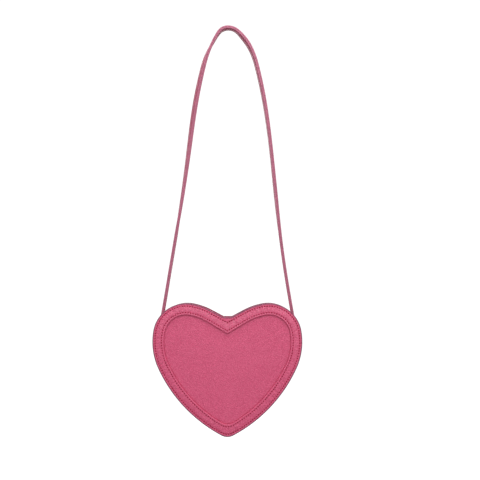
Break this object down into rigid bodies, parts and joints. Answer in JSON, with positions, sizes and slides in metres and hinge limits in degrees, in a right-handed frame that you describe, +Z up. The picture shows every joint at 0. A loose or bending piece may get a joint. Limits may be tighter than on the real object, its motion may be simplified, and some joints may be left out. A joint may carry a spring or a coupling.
{
  "type": "heart shaped purse",
  "caption": "Heart shaped leather shoulder purse with a padded stitched border, a gusset behind raised rims, a curved zip over both lobes and a long thin strap.",
  "frame": {"origin": "middle of the underside of the strap loop's top, where the purse hangs", "axes": "+X to the viewer's right across the heart, +Y from the front face to the back, +Z up along the hanging strap"},
  "size_m": [0.21, 0.0527, 0.5818],
  "materials": {
    "leather": "fine pebble grain, satin",
    "board": "plain fibre board",
    "foam": "soft foam",
    "lining": "plain woven cloth",
    "zip_tape": "herringbone woven tape",
    "zip_metal": "polished light gold"
  },
  "bodies": {
    "strap": {"strap_outer": "leather", "strap_inner": "leather"},
    "bag": {"strap_end_left": "leather", "strap_end_right": "leather", "strap_backers": "board", "front_panel": "leather", "back_panel": "leather", "front_border": "leather", "border_pad": "foam", "front_board": "board", "back_board": "board", "bottom_gusset": "leather", "zip_strip_front": "leather", "zip_strip_back": "leather", "zip_tape_front": "zip_tape", "zip_tape_back": "zip_tape", "zip_chain_front": "zip_metal", "zip_chain_back": "zip_metal", "zip_stops": "zip_metal", "zip_tab_left": "leather", "zip_tab_right": "leather", "lining_front": "lining", "lining_back": "lining", "lining_gusset": "lining"},
    "zip_slider": {"zip_slider": "zip_metal"},
    "zip_pull": {"zip_pull": "zip_metal"}
  },
  "joints": [
    {"name": "bag_swing", "type": "hinge", "parent": "strap", "child": "bag", "pos_m": [0, 0, -0.40616], "axis": [1, 0, 0], "range_deg": [-60, 60]},
    {"name": "zip_slide", "type": "hinge", "parent": "bag", "child": "zip_slider", "pos_m": [0.05433, 0, -0.4485], "axis": [0, -1, 0], "range_deg": [0, 50]},
    {"name": "pull_flip", "type": "hinge", "parent": "zip_slider", "child": "zip_pull", "pos_m": [0.07477, 0, -0.40074], "axis": [0, 1, 0], "range_deg": [0, 90]}
  ]
}
